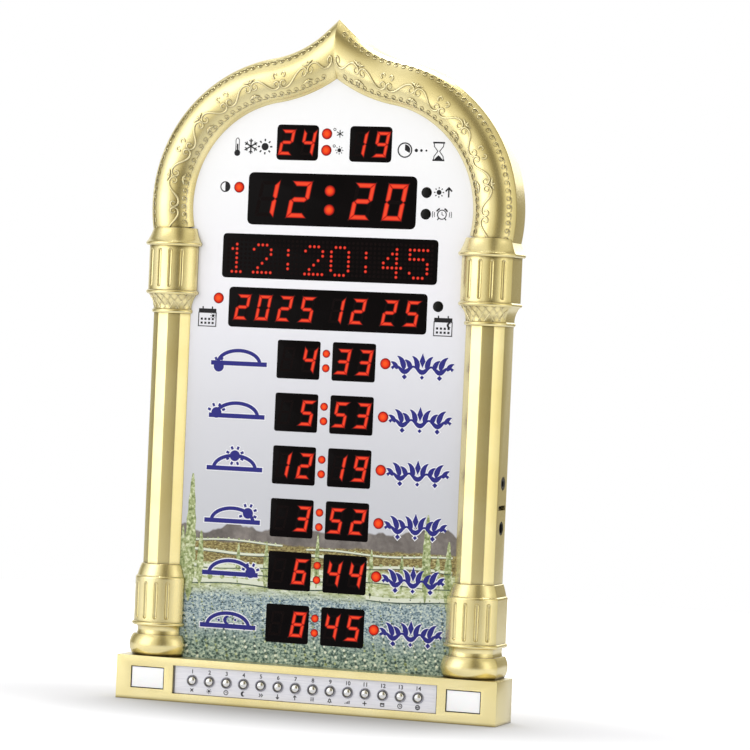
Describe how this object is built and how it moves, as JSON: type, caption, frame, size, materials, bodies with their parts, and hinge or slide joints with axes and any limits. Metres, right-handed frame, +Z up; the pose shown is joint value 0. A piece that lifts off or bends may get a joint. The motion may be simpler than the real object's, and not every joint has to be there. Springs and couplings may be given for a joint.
{
  "type": "azan clock",
  "caption": "Azan clock: a gold pointed arch on columns frames a face of red LED displays, above a base with a row of push buttons and two lamp windows.",
  "frame": {"origin": "centre of the clock's footprint, on the surface that the base stands on", "axes": "+Z up to the point of the arch, +X to the viewer's right, the face looks along -Y"},
  "size_m": [0.222, 0.029, 0.3813],
  "materials": {
    "gold_paint": "moulded plastic with satin champagne-gold metallic paint",
    "printed_panel": "clear acrylic sheet, printed on its back",
    "smoked_window": "unprinted smoked stretch of the face",
    "display_block": "black display block with red segments or dots",
    "lamp_red": "red light-emitting diode",
    "circuit_board": "glass-fibre board with green mask",
    "chip_black": "black moulded plastic",
    "steel": "plated steel",
    "pin_brass": "plated brass",
    "strip_silver": "brushed silver strip",
    "button_chrome": "bright plated",
    "white_window": "milky white diffuser",
    "lamp_white": "white light-emitting diode",
    "cable_grey": "ribbon cable",
    "plug_white": "nylon plug",
    "cover_gold": "moulded plastic, plain gold colour",
    "cone_paper": "pressed paper"
  },
  "bodies": {
    "clock": {"front_frame": "gold_paint", "face_panel": "printed_panel", "display_windows": "smoked_window", "temperature_display": "display_block", "countdown_display": "display_block", "time_displays": "display_block", "matrix_displays": "display_block", "date_displays": "display_block", "row_hour_displays": "display_block", "row_minute_displays": "display_block", "status_lamps": "lamp_red", "colon_lamps": "lamp_red", "main_board": "circuit_board", "controller_chip": "chip_black", "driver_chips": "chip_black", "capacitors": "chip_black", "cell_holder": "chip_black", "coin_cell": "steel", "temperature_sensor": "chip_black", "remote_receiver": "chip_black", "audio_socket": "chip_black", "power_socket": "chip_black", "power_pin": "pin_brass", "card_reader": "steel", "label_strip": "strip_silver", "button_bezels": "button_chrome", "push_switches": "chip_black", "key_board": "circuit_board", "left_window": "white_window", "right_window": "white_window", "window_lamps": "lamp_white", "flat_cable": "cable_grey", "cable_plugs": "plug_white", "rear_cover": "cover_gold", "speaker_basket": "steel", "speaker_magnet": "steel", "speaker_cone": "cone_paper", "cover_screws": "steel", "board_screws": "steel", "key_board_screws": "steel"},
    "button_01": {"button_01": "button_chrome"},
    "button_02": {"button_02": "button_chrome"},
    "button_03": {"button_03": "button_chrome"},
    "button_04": {"button_04": "button_chrome"},
    "button_05": {"button_05": "button_chrome"},
    "button_06": {"button_06": "button_chrome"},
    "button_07": {"button_07": "button_chrome"},
    "button_08": {"button_08": "button_chrome"},
    "button_09": {"button_09": "button_chrome"},
    "button_10": {"button_10": "button_chrome"},
    "button_11": {"button_11": "button_chrome"},
    "button_12": {"button_12": "button_chrome"},
    "button_13": {"button_13": "button_chrome"},
    "button_14": {"button_14": "button_chrome"}
  },
  "joints": [
    {"name": "button_01_press", "type": "slide", "parent": "clock", "child": "button_01", "axis": [0, 1, 0], "range_m": [0, 0.0003], "stiffness_N_per_m": 2000, "springref_m": -0.0005},
    {"name": "button_02_press", "type": "slide", "parent": "clock", "child": "button_02", "axis": [0, 1, 0], "range_m": [0, 0.0003], "stiffness_N_per_m": 2000, "springref_m": -0.0005},
    {"name": "button_03_press", "type": "slide", "parent": "clock", "child": "button_03", "axis": [0, 1, 0], "range_m": [0, 0.0003], "stiffness_N_per_m": 2000, "springref_m": -0.0005},
    {"name": "button_04_press", "type": "slide", "parent": "clock", "child": "button_04", "axis": [0, 1, 0], "range_m": [0, 0.0003], "stiffness_N_per_m": 2000, "springref_m": -0.0005},
    {"name": "button_05_press", "type": "slide", "parent": "clock", "child": "button_05", "axis": [0, 1, 0], "range_m": [0, 0.0003], "stiffness_N_per_m": 2000, "springref_m": -0.0005},
    {"name": "button_06_press", "type": "slide", "parent": "clock", "child": "button_06", "axis": [0, 1, 0], "range_m": [0, 0.0003], "stiffness_N_per_m": 2000, "springref_m": -0.0005},
    {"name": "button_07_press", "type": "slide", "parent": "clock", "child": "button_07", "axis": [0, 1, 0], "range_m": [0, 0.0003], "stiffness_N_per_m": 2000, "springref_m": -0.0005},
    {"name": "button_08_press", "type": "slide", "parent": "clock", "child": "button_08", "axis": [0, 1, 0], "range_m": [0, 0.0003], "stiffness_N_per_m": 2000, "springref_m": -0.0005},
    {"name": "button_09_press", "type": "slide", "parent": "clock", "child": "button_09", "axis": [0, 1, 0], "range_m": [0, 0.0003], "stiffness_N_per_m": 2000, "springref_m": -0.0005},
    {"name": "button_10_press", "type": "slide", "parent": "clock", "child": "button_10", "axis": [0, 1, 0], "range_m": [0, 0.0003], "stiffness_N_per_m": 2000, "springref_m": -0.0005},
    {"name": "button_11_press", "type": "slide", "parent": "clock", "child": "button_11", "axis": [0, 1, 0], "range_m": [0, 0.0003], "stiffness_N_per_m": 2000, "springref_m": -0.0005},
    {"name": "button_12_press", "type": "slide", "parent": "clock", "child": "button_12", "axis": [0, 1, 0], "range_m": [0, 0.0003], "stiffness_N_per_m": 2000, "springref_m": -0.0005},
    {"name": "button_13_press", "type": "slide", "parent": "clock", "child": "button_13", "axis": [0, 1, 0], "range_m": [0, 0.0003], "stiffness_N_per_m": 2000, "springref_m": -0.0005},
    {"name": "button_14_press", "type": "slide", "parent": "clock", "child": "button_14", "axis": [0, 1, 0], "range_m": [0, 0.0003], "stiffness_N_per_m": 2000, "springref_m": -0.0005}
  ]
}
